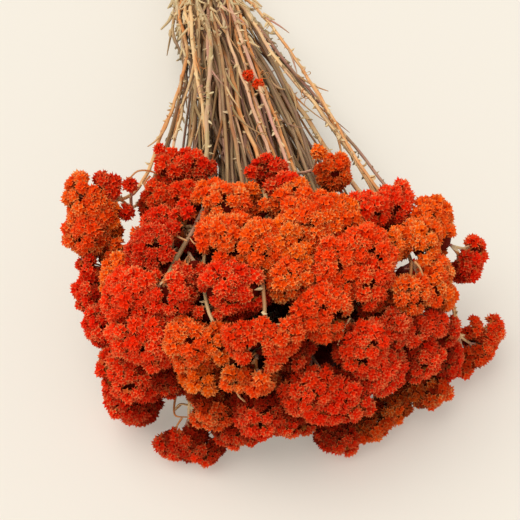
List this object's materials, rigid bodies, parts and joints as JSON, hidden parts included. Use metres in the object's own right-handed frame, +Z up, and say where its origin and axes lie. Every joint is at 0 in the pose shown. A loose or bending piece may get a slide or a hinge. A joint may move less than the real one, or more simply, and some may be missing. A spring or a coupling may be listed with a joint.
{
  "type": "dried flower bunch",
  "caption": "Bunch of dried lonas with domed orange and red button-flower heads on straw-like stems, bound with twine and lying on a surface.",
  "frame": {"origin": "on the surface that the bunch lies on, under the middle of its bounding box", "axes": "+Y back along the stems, from the flower heads to the cut ends; +Z up from the surface; +X across the bunch"},
  "size_m": [0.1884, 0.42, 0.0964],
  "materials": {
    "florets_orange": "dry papery florets dyed orange, matte",
    "florets_flame": "dry papery florets dyed orange-red, matte",
    "florets_red": "dry papery florets dyed red, matte",
    "florets_dark": "dry papery florets dyed deep red, matte",
    "dried_stem": "dry straw-like stem with leaf stubs, matte",
    "twine": "plain twisted jute twine"
  },
  "bodies": {
    "root": {"head_01": "florets_red", "head_02": "florets_orange", "head_03": "florets_dark", "head_04": "florets_orange", "head_05": "florets_red", "head_06": "florets_red", "head_07": "florets_red", "head_08": "florets_red", "head_09": "florets_orange", "head_10": "florets_flame", "head_11": "florets_red", "head_12": "florets_dark", "head_13": "florets_red", "head_14": "florets_orange", "head_15": "florets_red", "head_16": "florets_orange", "head_17": "florets_orange", "head_18": "florets_orange", "head_19": "florets_flame", "head_20": "florets_orange", "head_21": "florets_red", "head_22": "florets_red", "head_23": "florets_orange", "head_24": "florets_flame", "head_25": "florets_orange", "head_26": "florets_orange", "head_27": "florets_orange", "head_28": "florets_flame", "head_29": "florets_flame", "head_30": "florets_dark", "head_31": "florets_red", "head_32": "florets_orange", "head_33": "florets_red", "head_34": "florets_orange", "head_35": "florets_dark", "head_36": "florets_flame", "head_37": "florets_red", "head_38": "florets_red", "head_39": "florets_orange", "head_40": "florets_red", "head_41": "florets_red", "head_42": "florets_orange", "head_43": "florets_dark", "head_44": "florets_dark", "stems_01": "dried_stem", "stems_02": "dried_stem", "stems_03": "dried_stem", "stems_04": "dried_stem", "stems_05": "dried_stem", "stems_06": "dried_stem", "stems_07": "dried_stem", "stems_08": "dried_stem", "stems_09": "dried_stem", "stems_10": "dried_stem", "stems_11": "dried_stem", "stems_12": "dried_stem", "stems_13": "dried_stem", "stems_14": "dried_stem", "stems_15": "dried_stem", "tie": "twine"}
  },
  "joints": []
}
